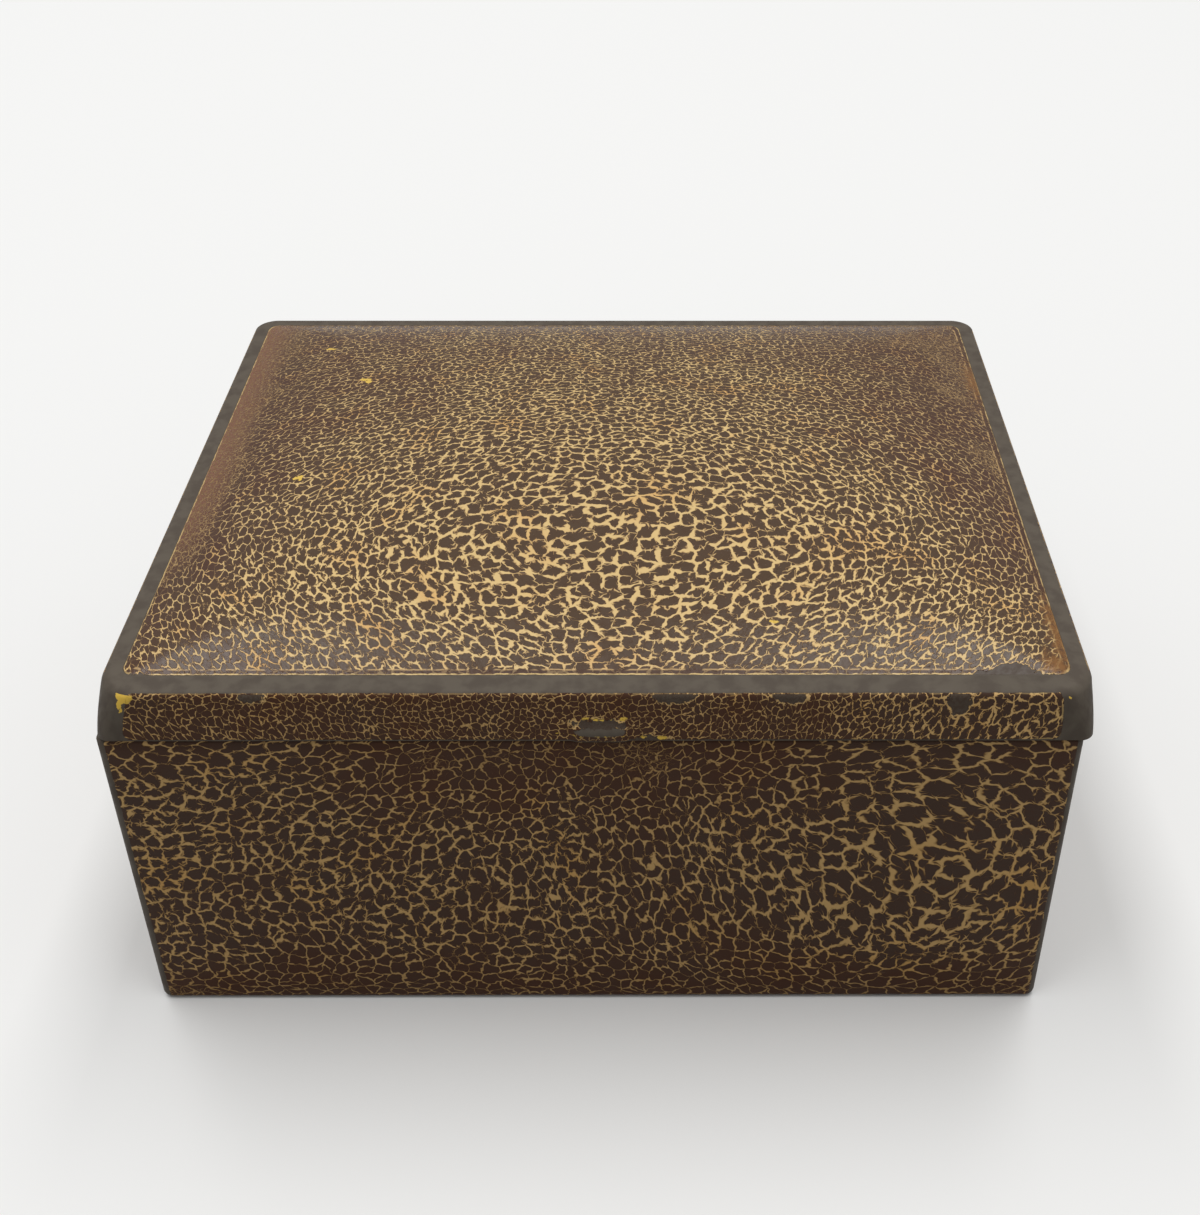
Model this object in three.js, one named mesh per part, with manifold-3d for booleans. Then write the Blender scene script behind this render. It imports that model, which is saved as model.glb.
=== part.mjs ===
// A small hinged tin box with a pillow-topped lid, in millimetres, +Z up, front towards -Y.
// The origin is the middle of the footprint, on the surface that the box stands on.
// A folded strip makes the walls, a pan drops in from above as the floor, and a drawn lid swings on
// two riveted pin hinges at the back. Every sheet piece is a loft of rounded-rectangle rings.
import * as THREE from "three";
import { mergeVertices } from "three/addons/utils/BufferGeometryUtils.js";
import Module from "manifold-3d";

const wasm = await Module();
wasm.setup();

// Sheet stock and the gaps between pieces
const SHEET = 0.35; // tinplate gauge
const SEAT_GAP = 0.1; // solder film or paint between pieces that sit on each other
const LID_REST_GAP = 0.3; // between the rim of the walls and the underside of the closed lid
const LID_SIDE_GAP = 0.1; // between the walls and the skirt's lower edge

// Lid: outline at the lower edge of its skirt, then the shape above it
const LID_WIDTH = 114.3;
const LID_DEPTH = 95.3;
const LID_TOP = 50.8; // height of the flat border round the pillow
const LID_CORNER_RADIUS = 2.6; // at the border's height
const SKIRT_CORNER_RADIUS = 1.1; // at the skirt's lower edge
const SKIRT_HEIGHT = 6.3;
const SKIRT_FLARE = 0.8; // how far each skirt leans out from the border's height to its lower edge
const LID_EDGE_RADIUS = 0.9; // bend between skirt and border
const BORDER_WIDTH = 2.3; // from the bend's outer face to the foot of the pillow, at the sides and the back
const FRONT_BORDER_WIDTH = 3.3;
const PILLOW_CORNER_RADIUS = 1.6;
const PILLOW_RISE = 2.4;
const PILLOW_RUN = 16; // how far in from its foot the pillow goes on rising
const PILLOW_CROWN = 0.5; // further rise from there to the middle
const PILLOW_ROUNDING = 0.6; // corner radius that each millimetre of inset adds to the pillow's outline

// Thumb lip pressed out of the front skirt
const LIP_WIDTH = 7.4;
const LIP_HEIGHT = 2.5;
const LIP_REACH = 1.1;
const LIP_SIDE_RAMP = 1.0;
const LIP_TOP_RAMP = 0.7;

// Walls: one folded strip, turned in under the floor and necked in under the lid
const WALL_CORNER_RADIUS = 1.4;
const FOOT_FLANGE = 4.5; // width of the turned-in edge that the box stands on
const FOOT_BEND_RADIUS = 1.0;
const NECK_INSET = 1.1;
const NECK_DROP = 0.8; // how far below the skirt's edge the neck starts
const NECK_LENGTH = 1.3;
const RIM_RADIUS = 0.9; // rolled rim at the top of the neck
const RIM_TAIL = 0.6; // straight end of the rolled rim
const SEAM_WIDTH = 5; // lap of the strip's two ends, inside the back wall
const LEAST_CORNER_RADIUS = 0.4; // tightest corner that the sheet is folded to

// Floor pan
const PAN_SIDE_GAP = 0.3;
const PAN_FLANGE = 3.0; // height of its turned-up edge
const PAN_BEND_RADIUS = 0.8;
const PAN_STEP_INSET = 6; // where the stiffening step starts, in from the pan's edge
const PAN_STEP_RUN = 1.0;
const PAN_STEP_RISE = 0.8;

// Pin hinges
const HINGE_INSET = 26.15; // from each side of the lid to the middle of a hinge
const KNUCKLE_COUNT = 5; // shared by the two leaves in turn, with the ends on the body's leaf
const KNUCKLE_LENGTH = 3.6;
const KNUCKLE_GAP = 0.3;
const LEAF_THICKNESS = 0.35;
const PIN_RADIUS = 0.65;
const PIN_CLEARANCE = 0.1;
const PIN_HEAD_SPREAD = 0.3; // how far the upset ends stand out past the wire
const PIN_HEAD_LENGTH = 0.4;
const PIN_HEAD_BEVEL = 0.2;
const HINGE_DROP = 0.6; // the pin's axis lies this far below the skirt's lower edge
const CURL_GAP = 0.2; // between the end of a leaf's curl and its own plate
const LID_LEAF_MARGIN = 0.5; // between the lid's leaf and the bend at the top of the skirt
const BODY_LEAF_HEIGHT = 8.0; // flat plate below the knuckles
const BODY_LEAF_JOGGLE = 0.9; // height over which the body's leaf steps in to the wall
const NOTCH_MARGIN = 0.3; // room round the other leaf's knuckles

// Rivets, two to a leaf
const RIVET_SPACING = 10;
const RIVET_RADIUS = 0.7;
const RIVET_HOLE_CLEARANCE = 0.15;
const RIVET_HEAD_SPREAD = 0.55; // how far the head stands out past the shank
const RIVET_HEAD_HEIGHT = 0.5;
const RIVET_TAIL_SPREAD = 0.45;
const RIVET_TAIL_HEIGHT = 0.3;
const RIVET_TAIL_BEVEL = 0.2;

// Facets
const CORNER_STEPS = 5;
const BEND_STEPS = 4;
const PILLOW_STEPS = 7;
const CROWN_STEPS = 2;
const CURL_STEPS = 16;
const ROUND_STEPS = 14;
const DOME_STEPS = 3;

// Sizes worked out from the above
const skirtLow = LID_TOP - SKIRT_HEIGHT;
const overhang = SHEET + LID_SIDE_GAP; // how far the skirt's lower edge stands out past the walls
const bodyHalfWidth = LID_WIDTH / 2 - overhang;
const bodyHalfDepth = LID_DEPTH / 2 - overhang;
const rimTop = LID_TOP - SHEET - LID_REST_GAP;
const neckStart = skirtLow - NECK_DROP;
const curlInner = PIN_RADIUS + PIN_CLEARANCE;
const curlOuter = curlInner + LEAF_THICKNESS;
const curlAngle = 2 * Math.PI - Math.acos((curlInner - CURL_GAP) / curlOuter);
const notchReach = curlOuter + NOTCH_MARGIN;
const hingeLength = KNUCKLE_COUNT * KNUCKLE_LENGTH + (KNUCKLE_COUNT - 1) * KNUCKLE_GAP;
const hingeY = LID_DEPTH / 2 + SEAT_GAP + curlOuter;
const hingeZ = skirtLow - HINGE_DROP;
const skirtStraight = SKIRT_HEIGHT - LID_EDGE_RADIUS;
const skirtSlope = SKIRT_FLARE / SKIRT_HEIGHT;
const skirtLean = Math.atan(skirtSlope);
const pillowCentreY = (FRONT_BORDER_WIDTH - BORDER_WIDTH) / 2; // the wider front border moves the pillow back
const lidLeafTop = HINGE_DROP + skirtStraight - LID_LEAF_MARGIN; // above the pin's axis
const bodyLeafFoot = notchReach + BODY_LEAF_HEIGHT; // below the pin's axis

// Finishes
const crackleLacquer = new THREE.MeshStandardMaterial({ color: 0x4a372c, roughness: 0.42, metalness: 0.1 });
const lidLacquer = new THREE.MeshStandardMaterial({ color: 0x6b553c, roughness: 0.4, metalness: 0.1 });
const goldLacquer = new THREE.MeshStandardMaterial({ color: 0xa8874a, roughness: 0.4, metalness: 0.7 });
const hingeSteel = new THREE.MeshStandardMaterial({ color: 0x5c564e, roughness: 0.5, metalness: 0.8 });
const pinSteel = new THREE.MeshStandardMaterial({ color: 0x7d7a74, roughness: 0.35, metalness: 0.9 });

// Joins and cuts

function solidOf(geometry) {
  const bare = geometry.clone();
  bare.deleteAttribute("normal");
  bare.deleteAttribute("uv");
  const merged = mergeVertices(bare, 1e-4);
  return new wasm.Manifold(
    new wasm.Mesh({
      numProp: 3,
      vertProperties: new Float32Array(merged.attributes.position.array),
      triVerts: new Uint32Array(merged.index.array),
    }),
  );
}

function geometryOf(solid) {
  const mesh = solid.getMesh();
  const geometry = new THREE.BufferGeometry();
  geometry.setAttribute("position", new THREE.BufferAttribute(mesh.vertProperties, 3));
  geometry.setIndex(new THREE.BufferAttribute(mesh.triVerts, 1));
  return geometry;
}

// Rings and lofts

// A rounded rectangle at height z, counter-clockwise from above.
// frontStations are extra x places on its front edge, and centreY moves it back.
function ring(halfWidth, halfDepth, radius, z, frontStations = [], centreY = 0) {
  const sideX = halfWidth - radius;
  const sideY = halfDepth - radius;
  const points = frontStations.map((station) => new THREE.Vector3(station, centreY - halfDepth, z));
  const corners = [
    [sideX, -sideY, -Math.PI / 2],
    [sideX, sideY, 0],
    [-sideX, sideY, Math.PI / 2],
    [-sideX, -sideY, Math.PI],
  ];
  for (const [cx, cy, start] of corners) {
    for (let i = 0; i <= CORNER_STEPS; i++) {
      const angle = start + (i / CORNER_STEPS) * (Math.PI / 2);
      const y = centreY + cy + radius * Math.sin(angle);
      points.push(new THREE.Vector3(cx + radius * Math.cos(angle), y, z));
    }
  }
  return points;
}

// A closed surface through rings that run from the outside to the inside of the sheet.
// Where the rings end in the middle of a panel, first and last are the points that close them.
// Otherwise the last ring joins the first.
function loft(rings, first = null, last = null) {
  const count = rings[0].length;
  const positions = rings.flat().flatMap((p) => [p.x, p.y, p.z]);
  const index = [];
  const bands = first ? rings.length - 1 : rings.length;
  for (let k = 0; k < bands; k++) {
    const upper = k * count;
    const lower = ((k + 1) % rings.length) * count;
    for (let i = 0; i < count; i++) {
      const next = (i + 1) % count;
      index.push(upper + i, lower + i, upper + next, upper + next, lower + i, lower + next);
    }
  }
  if (first) {
    const firstIndex = positions.length / 3;
    positions.push(first.x, first.y, first.z, last.x, last.y, last.z);
    const lastRing = (rings.length - 1) * count;
    for (let i = 0; i < count; i++) {
      const next = (i + 1) % count;
      index.push(firstIndex, i, next);
      index.push(firstIndex + 1, lastRing + next, lastRing + i);
    }
  }
  const geometry = new THREE.BufferGeometry();
  geometry.setAttribute("position", new THREE.Float32BufferAttribute(positions, 3));
  geometry.setIndex(index);
  return geometry;
}

// Points of an arc in a profile, as [inset, z] pairs.
function arc(cx, cz, radius, start, end, steps) {
  const points = [];
  for (let i = 0; i <= steps; i++) {
    const angle = start + (i / steps) * (end - start);
    points.push([cx + radius * Math.cos(angle), cz + radius * Math.sin(angle)]);
  }
  return points;
}

// Walls

// One face of the strip, depth under its outer face, from the end of the rolled rim down to the foot's edge.
function wallFace(depth) {
  const neckEnd = neckStart + NECK_LENGTH;
  const rimCentre = NECK_INSET + RIM_RADIUS;
  const rimSpring = rimTop - RIM_RADIUS;
  return [
    [rimCentre + RIM_RADIUS - depth, rimSpring - RIM_TAIL],
    ...arc(rimCentre, rimSpring, RIM_RADIUS - depth, 0, Math.PI, 2 * BEND_STEPS),
    [NECK_INSET + depth, neckEnd],
    [depth, neckStart],
    ...arc(FOOT_BEND_RADIUS, FOOT_BEND_RADIUS, FOOT_BEND_RADIUS - depth, Math.PI, 1.5 * Math.PI, BEND_STEPS),
    [FOOT_FLANGE, depth],
  ];
}

function wallGeometry() {
  const profile = [...wallFace(0), ...wallFace(SHEET).reverse()];
  const rings = profile.map(([inset, z]) =>
    ring(
      bodyHalfWidth - inset,
      bodyHalfDepth - inset,
      Math.max(WALL_CORNER_RADIUS - inset, LEAST_CORNER_RADIUS),
      z,
    ),
  );
  const lapLow = SHEET + SEAT_GAP + PAN_FLANGE + SEAT_GAP;
  const lapHeight = neckStart - lapLow;
  const lap = new THREE.BoxGeometry(SEAM_WIDTH, 2 * SHEET, lapHeight);
  lap.translate(0, bodyHalfDepth - SHEET, lapLow + lapHeight / 2);
  let wall = solidOf(loft(rings)).add(solidOf(lap));
  for (const place of hingeCentres.flatMap(bodyRivetPlaces)) wall = wall.subtract(solidOf(rivetHole(place)));
  return geometryOf(wall);
}

// Floor pan

function panGeometry() {
  const halfWidth = bodyHalfWidth - SHEET - PAN_SIDE_GAP;
  const halfDepth = bodyHalfDepth - SHEET - PAN_SIDE_GAP;
  const corner = WALL_CORNER_RADIUS - SHEET - PAN_SIDE_GAP;
  const low = SHEET + SEAT_GAP;
  const bendCentre = low + PAN_BEND_RADIUS;
  // One face of the pan, height above its underside, from the middle out and up the turned-up edge
  const face = (height) => [
    [PAN_STEP_INSET + PAN_STEP_RUN, low + PAN_STEP_RISE + height],
    [PAN_STEP_INSET, low + height],
    ...arc(PAN_BEND_RADIUS, bendCentre, PAN_BEND_RADIUS - height, 1.5 * Math.PI, Math.PI, BEND_STEPS),
    [height, low + PAN_FLANGE],
  ];
  const profile = [...face(SHEET), ...face(0).reverse()];
  const rings = profile.map(([inset, z]) =>
    ring(halfWidth - inset, halfDepth - inset, Math.max(corner - inset, LEAST_CORNER_RADIUS), z),
  );
  const middle = low + PAN_STEP_RISE;
  return loft(rings, new THREE.Vector3(0, 0, middle + SHEET), new THREE.Vector3(0, 0, middle));
}

// Lid

// Height of the pillow, inset millimetres in from its foot: a parabola that flattens at the end of the run.
function pillowHeight(inset) {
  const left = 1 - Math.min(inset / PILLOW_RUN, 1);
  return PILLOW_RISE * (1 - left * left);
}

// How far the thumb lip stands out of the skirt at x, and at a height above the skirt's lower edge.
function lipReach(x, height) {
  const across = THREE.MathUtils.clamp((LIP_WIDTH / 2 - Math.abs(x)) / LIP_SIDE_RAMP, 0, 1);
  const upwards = THREE.MathUtils.clamp((LIP_HEIGHT - height) / LIP_TOP_RAMP, 0, 1);
  return LIP_REACH * across * upwards;
}

// Rings of one face of the lid, depth under its outer face, from near the middle of the top
// to the skirt's lower edge.
function lidFace(depth) {
  const footHalfWidth = LID_WIDTH / 2 - SKIRT_FLARE - BORDER_WIDTH;
  const footHalfDepth = LID_DEPTH / 2 - SKIRT_FLARE - (BORDER_WIDTH + FRONT_BORDER_WIDTH) / 2;
  const innerHalfDepth = footHalfDepth - PILLOW_RUN;
  const inFlat = LIP_WIDTH / 2 - LIP_SIDE_RAMP;
  const stations = [-LIP_WIDTH / 2, -inFlat, 0, inFlat, LIP_WIDTH / 2];
  const rings = [];
  const addPillowRing = (inset, radius, z) => {
    const halfDepth = footHalfDepth - inset;
    rings.push(ring(footHalfWidth - inset, halfDepth, radius, z - depth, stations, pillowCentreY));
  };
  for (let k = 1; k <= CROWN_STEPS; k++) {
    const share = 1 - k / (CROWN_STEPS + 1);
    const inset = PILLOW_RUN + share * innerHalfDepth;
    const crown = PILLOW_CROWN * (1 - (1 - share) ** 2);
    const radius = (PILLOW_CORNER_RADIUS + PILLOW_ROUNDING * PILLOW_RUN) * (1 - share);
    addPillowRing(inset, radius, LID_TOP + PILLOW_RISE + crown);
  }
  for (let k = PILLOW_STEPS; k >= 0; k--) {
    const inset = (k / PILLOW_STEPS) * PILLOW_RUN;
    addPillowRing(inset, PILLOW_CORNER_RADIUS + PILLOW_ROUNDING * inset, LID_TOP + pillowHeight(inset));
  }
  const bend = LID_EDGE_RADIUS - depth;
  const bendCentre = LID_TOP - LID_EDGE_RADIUS;
  const bendInset = (bendCentre - skirtLow) * skirtSlope + LID_EDGE_RADIUS / Math.cos(skirtLean);
  for (const [inset, z] of arc(bendInset, bendCentre, bend, Math.PI / 2, Math.PI - skirtLean, BEND_STEPS)) {
    const radius = Math.max(LID_CORNER_RADIUS + SKIRT_FLARE - inset, PILLOW_CORNER_RADIUS);
    rings.push(ring(LID_WIDTH / 2 - inset, LID_DEPTH / 2 - inset, radius, z, stations));
  }
  for (const height of [LIP_HEIGHT, LIP_HEIGHT - LIP_TOP_RAMP, 0]) {
    const inset = height * skirtSlope + depth / Math.cos(skirtLean);
    const skirtRing = ring(
      LID_WIDTH / 2 - inset,
      LID_DEPTH / 2 - inset,
      THREE.MathUtils.lerp(SKIRT_CORNER_RADIUS, LID_CORNER_RADIUS, height / SKIRT_HEIGHT) - depth,
      skirtLow + height,
      stations,
    );
    for (const point of skirtRing.slice(0, stations.length)) point.y -= lipReach(point.x, height);
    rings.push(skirtRing);
  }
  return rings;
}

function lidGeometry() {
  const crown = LID_TOP + PILLOW_RISE + PILLOW_CROWN;
  const rings = [...lidFace(0), ...lidFace(SHEET).reverse()];
  const middle = (z) => new THREE.Vector3(0, pillowCentreY, z);
  let lid = solidOf(loft(rings, middle(crown), middle(crown - SHEET)));
  for (const place of hingeCentres.flatMap(lidRivetPlaces)) lid = lid.subtract(solidOf(rivetHole(place)));
  return geometryOf(lid);
}

// Hinges

const hingeX = LID_WIDTH / 2 - HINGE_INSET;
const hingeCentres = [-hingeX, hingeX];
// Front face of the body's leaf, from the pin's axis
const bodyWallOffset = bodyHalfDepth + SEAT_GAP - hingeY;

// Front face of the lid's leaf, from the pin's axis, at a height above it: it follows the lean of the skirt.
function lidLeafOffset(height) {
  return -curlOuter - Math.max(height - HINGE_DROP, 0) * skirtSlope;
}

// A leaf's outline across the pin, from the plate to the end of its curl, measured back and up from the axis.
// turn is 1 for the lid's leaf, whose plate stands up, and -1 for the body's, whose plate hangs down.
function leafShape(plate, turn) {
  const shape = new THREE.Shape();
  const front = plate.map(([y, z]) => [y, turn * z]);
  const back = front.map(([y, z]) => [y + LEAF_THICKNESS, z]).reverse();
  const start = Math.PI;
  const end = Math.PI + turn * curlAngle;
  const outer = arc(0, 0, curlOuter, start, end, CURL_STEPS);
  const inner = arc(0, 0, curlInner, end, start, CURL_STEPS);
  const outline = [...front, ...outer, ...inner, ...back];
  shape.setFromPoints(outline.map(([y, z]) => new THREE.Vector2(y, z)));
  return shape;
}

// A leaf as long as the hinge, notched for the other leaf's knuckles. held says which knuckles are its own.
function leafGeometry(shape, centreX, held, rivets) {
  const blank = new THREE.ExtrudeGeometry(shape, { depth: hingeLength, bevelEnabled: false });
  blank.applyMatrix4(
    new THREE.Matrix4().makeBasis(
      new THREE.Vector3(0, 1, 0),
      new THREE.Vector3(0, 0, 1),
      new THREE.Vector3(1, 0, 0),
    ),
  );
  blank.translate(centreX - hingeLength / 2, hingeY, hingeZ);
  let leaf = solidOf(blank);
  for (let k = 0; k < KNUCKLE_COUNT; k++) {
    if (held(k)) continue;
    const middle = k * (KNUCKLE_LENGTH + KNUCKLE_GAP) + KNUCKLE_LENGTH / 2 - hingeLength / 2;
    const notch = new THREE.BoxGeometry(KNUCKLE_LENGTH + 2 * KNUCKLE_GAP, 4 * notchReach, 2 * notchReach);
    notch.translate(centreX + middle, hingeY, hingeZ);
    leaf = leaf.subtract(solidOf(notch));
  }
  for (const place of rivets) leaf = leaf.subtract(solidOf(rivetHole(place)));
  return geometryOf(leaf);
}

const lidLeafPlate = [
  [lidLeafOffset(lidLeafTop), lidLeafTop],
  [lidLeafOffset(HINGE_DROP), HINGE_DROP],
];
const joggleTop = curlOuter / 2;
const bodyLeafPlate = [
  [bodyWallOffset, bodyLeafFoot],
  [bodyWallOffset, joggleTop + BODY_LEAF_JOGGLE],
  [-curlOuter, joggleTop],
];

// A wire pin with both ends upset into low heads, along X.
function pinGeometry() {
  const half = hingeLength / 2 + SEAT_GAP;
  const headRadius = PIN_RADIUS + PIN_HEAD_SPREAD;
  const upperHalf = [
    [PIN_RADIUS, half],
    [headRadius, half],
    [headRadius, half + PIN_HEAD_LENGTH - PIN_HEAD_BEVEL],
    [headRadius - PIN_HEAD_BEVEL, half + PIN_HEAD_LENGTH],
    [0, half + PIN_HEAD_LENGTH],
  ];
  const lowerHalf = upperHalf.map(([r, h]) => [r, -h]).reverse();
  const profile = [...lowerHalf, ...upperHalf];
  const pin = new THREE.LatheGeometry(
    profile.map(([r, h]) => new THREE.Vector2(r, h)),
    ROUND_STEPS,
  );
  pin.rotateZ(-Math.PI / 2);
  return geometryOf(solidOf(pin));
}

// Rivets

// Each place is the point on a leaf's outer face where a rivet's head sits, and how far the leaf leans.
// Rivets stand half way up the flat plate of the leaf, in a pair about the middle of the hinge at centreX.
function rivetPlaces(centreX, y, z, lean) {
  return [-RIVET_SPACING / 2, RIVET_SPACING / 2].map((dx) => ({ x: centreX + dx, y, z, lean }));
}

function lidRivetPlaces(centreX) {
  const height = (notchReach + lidLeafTop) / 2;
  const y = hingeY + lidLeafOffset(height) + LEAF_THICKNESS;
  return rivetPlaces(centreX, y, hingeZ + height, skirtLean);
}

function bodyRivetPlaces(centreX) {
  const drop = (notchReach + bodyLeafFoot) / 2;
  return rivetPlaces(centreX, hingeY + bodyWallOffset + LEAF_THICKNESS, hingeZ - drop, 0);
}

// Turns a shape made along +Y, with y 0 at the leaf's outer face, to stand at a rivet's place.
function atRivet(geometry, place) {
  geometry.rotateX(place.lean);
  geometry.translate(place.x, place.y, place.z);
  return geometry;
}

const rivetStack = LEAF_THICKNESS + SEAT_GAP + SHEET; // leaf, film and wall

function rivetHole(place) {
  const length = 4 * rivetStack;
  const radius = RIVET_RADIUS + RIVET_HOLE_CLEARANCE;
  const hole = new THREE.CylinderGeometry(radius, radius, length, ROUND_STEPS);
  return atRivet(hole, place);
}

// A round-headed rivet: domed head outside, shank through leaf and wall, spread tail inside.
function rivetGeometry(place) {
  const tailFace = -rivetStack - SEAT_GAP;
  const tailRadius = RIVET_RADIUS + RIVET_TAIL_SPREAD;
  const headRadius = RIVET_RADIUS + RIVET_HEAD_SPREAD;
  const dome = arc(0, 0, 1, 0, Math.PI / 2, DOME_STEPS).map(([across, up]) => [
    headRadius * across,
    SEAT_GAP + RIVET_HEAD_HEIGHT * up,
  ]);
  dome[DOME_STEPS][0] = 0;
  const profile = [
    [0, tailFace - RIVET_TAIL_HEIGHT],
    [tailRadius - RIVET_TAIL_BEVEL, tailFace - RIVET_TAIL_HEIGHT],
    [tailRadius, tailFace],
    [RIVET_RADIUS, tailFace],
    [RIVET_RADIUS, SEAT_GAP],
    ...dome,
  ];
  const rivet = new THREE.LatheGeometry(
    profile.map(([r, h]) => new THREE.Vector2(r, h)),
    ROUND_STEPS,
  );
  return atRivet(geometryOf(solidOf(rivet)), place);
}

// Assembly

function piece(name, geometry, material) {
  const mesh = new THREE.Mesh(geometry, material);
  mesh.name = name;
  return mesh;
}

const box = new THREE.Group();
const caseGroup = new THREE.Group();
const lidGroup = new THREE.Group();
box.add(caseGroup, lidGroup);

caseGroup.add(piece("body_wall", wallGeometry(), crackleLacquer));
caseGroup.add(piece("floor_pan", panGeometry(), goldLacquer));
lidGroup.add(piece("lid_shell", lidGeometry(), lidLacquer));

const onBody = (k) => k % 2 === 0;
const onLid = (k) => !onBody(k);
hingeCentres.forEach((x, i) => {
  const side = i === 0 ? "left" : "right";
  const bodyRivets = bodyRivetPlaces(x);
  const lidRivets = lidRivetPlaces(x);
  const bodyLeaf = leafGeometry(leafShape(bodyLeafPlate, -1), x, onBody, bodyRivets);
  const lidLeaf = leafGeometry(leafShape(lidLeafPlate, 1), x, onLid, lidRivets);
  caseGroup.add(piece(`hinge_body_leaf_${side}`, bodyLeaf, hingeSteel));
  lidGroup.add(piece(`hinge_lid_leaf_${side}`, lidLeaf, hingeSteel));
  const pin = piece(`hinge_pin_${side}`, pinGeometry(), pinSteel);
  pin.position.set(x, hingeY, hingeZ);
  caseGroup.add(pin);
  bodyRivets.forEach((place, k) => {
    caseGroup.add(piece(`body_rivet_${side}_${k + 1}`, rivetGeometry(place), pinSteel));
  });
  lidRivets.forEach((place, k) => {
    lidGroup.add(piece(`lid_rivet_${side}_${k + 1}`, rivetGeometry(place), pinSteel));
  });
});

export default box;
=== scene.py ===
import bpy
import numpy as np
from mathutils import Matrix, Vector


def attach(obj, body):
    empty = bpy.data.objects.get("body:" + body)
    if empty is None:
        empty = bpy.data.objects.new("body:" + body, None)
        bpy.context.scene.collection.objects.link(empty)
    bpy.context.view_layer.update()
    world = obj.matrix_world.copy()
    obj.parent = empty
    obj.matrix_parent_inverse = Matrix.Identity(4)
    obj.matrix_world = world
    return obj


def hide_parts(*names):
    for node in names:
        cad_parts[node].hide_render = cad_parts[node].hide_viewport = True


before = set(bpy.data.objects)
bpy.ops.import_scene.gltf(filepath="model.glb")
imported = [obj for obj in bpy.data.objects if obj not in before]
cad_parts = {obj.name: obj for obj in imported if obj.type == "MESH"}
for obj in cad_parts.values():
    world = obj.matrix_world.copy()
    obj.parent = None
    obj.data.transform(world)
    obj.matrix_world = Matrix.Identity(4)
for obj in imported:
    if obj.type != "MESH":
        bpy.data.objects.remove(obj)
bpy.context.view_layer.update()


# Camera: the photograph's own view, from a little above the box and square to its front.
# Its place, tilt and lens come from a fit to the box's outline.
PICTURE_WIDTH, PICTURE_HEIGHT = 1200, 1215
FOCAL_PIXELS = 1619.2
AXIS_ACROSS, AXIS_DOWN = 667.2, 600.4  # where the lens's axis meets the picture
SENSOR = 36.0
pitch, yaw, roll = np.radians((35.955, 0.312, 0.147))
forward = Vector((np.sin(yaw) * np.cos(pitch), np.cos(yaw) * np.cos(pitch), -np.sin(pitch)))
level = Vector((np.cos(yaw), -np.sin(yaw), 0.0))
steep = level.cross(forward)
across = np.cos(roll) * level + np.sin(roll) * steep
upward = np.cos(roll) * steep - np.sin(roll) * level

camera_data = bpy.data.cameras.new("photo_camera")
camera_data.sensor_width = SENSOR
camera_data.lens = FOCAL_PIXELS / PICTURE_HEIGHT * SENSOR
camera_data.shift_x = (PICTURE_WIDTH / 2 - AXIS_ACROSS) / PICTURE_HEIGHT
camera_data.shift_y = (AXIS_DOWN - PICTURE_HEIGHT / 2) / PICTURE_HEIGHT
camera_data.clip_start = 0.01
camera = bpy.data.objects.new("photo_camera", camera_data)
camera.matrix_world = Matrix.Translation((0.0076, -0.1873, 0.1655)) @ Matrix(
    (across, upward, -forward)
).transposed().to_4x4()
bpy.context.scene.collection.objects.link(camera)
bpy.context.scene.camera = camera
bpy.context.scene.view_settings.view_transform = "Standard"


# Floor and light: a plain pale table top under two long soft panels, high up on the left and right.
# The room's pale walls are the world, a little lighter to the camera and in the lacquer's gloss.
FLOOR_COLOUR = (0.89, 0.89, 0.88)
FLOOR_BOUNCE = (0.20, 0.197, 0.19)  # what the floor sends back up on to the box
FLOOR_HALF = 3.0
LAMP_WATTS = 21.5
LAMP_WIDTH, LAMP_DEPTH, LAMP_HEIGHT = 0.55, 2.3, 2.2
LAMP_LEFT, LAMP_RIGHT, LAMP_BACK = -0.75, 0.52, 0.34
ROOM_LIGHT, ROOM_SEEN = 0.48, 0.42


def add_node(tree, kind, inputs=(), **settings):
    """Adds a shader node, sets its properties, and links or sets each input that is given."""
    node = tree.nodes.new("ShaderNode" + kind)
    for name, value in settings.items():
        setattr(node, name, value)
    for key, value in dict(inputs).items():
        if isinstance(value, bpy.types.NodeSocket):
            tree.links.new(value, node.inputs[key])
        else:
            node.inputs[key].default_value = value
    return node


def new_material(name):
    """Makes an empty node material and gives it with its node tree."""
    material = bpy.data.materials.new(name)
    material.use_nodes = True
    material.node_tree.nodes.clear()
    return material, material.node_tree


def add_surface(tree, inputs):
    """Adds the Principled shader with its inputs, and the material's output."""
    shader = add_node(tree, "BsdfPrincipled", inputs)
    add_node(tree, "OutputMaterial", {"Surface": shader.outputs[0]})


def seen_directly(tree):
    """1 for rays from the camera, from gloss and through glass, and 0 for rays of scattered light."""
    path = add_node(tree, "LightPath").outputs
    seen = add_node(tree, "Math", {0: path["Is Camera Ray"], 1: path["Is Glossy Ray"]}, operation="MAXIMUM")
    seen = add_node(tree, "Math", {0: seen.outputs[0], 1: path["Is Transmission Ray"]}, operation="MAXIMUM")
    return seen.outputs[0]


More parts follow.
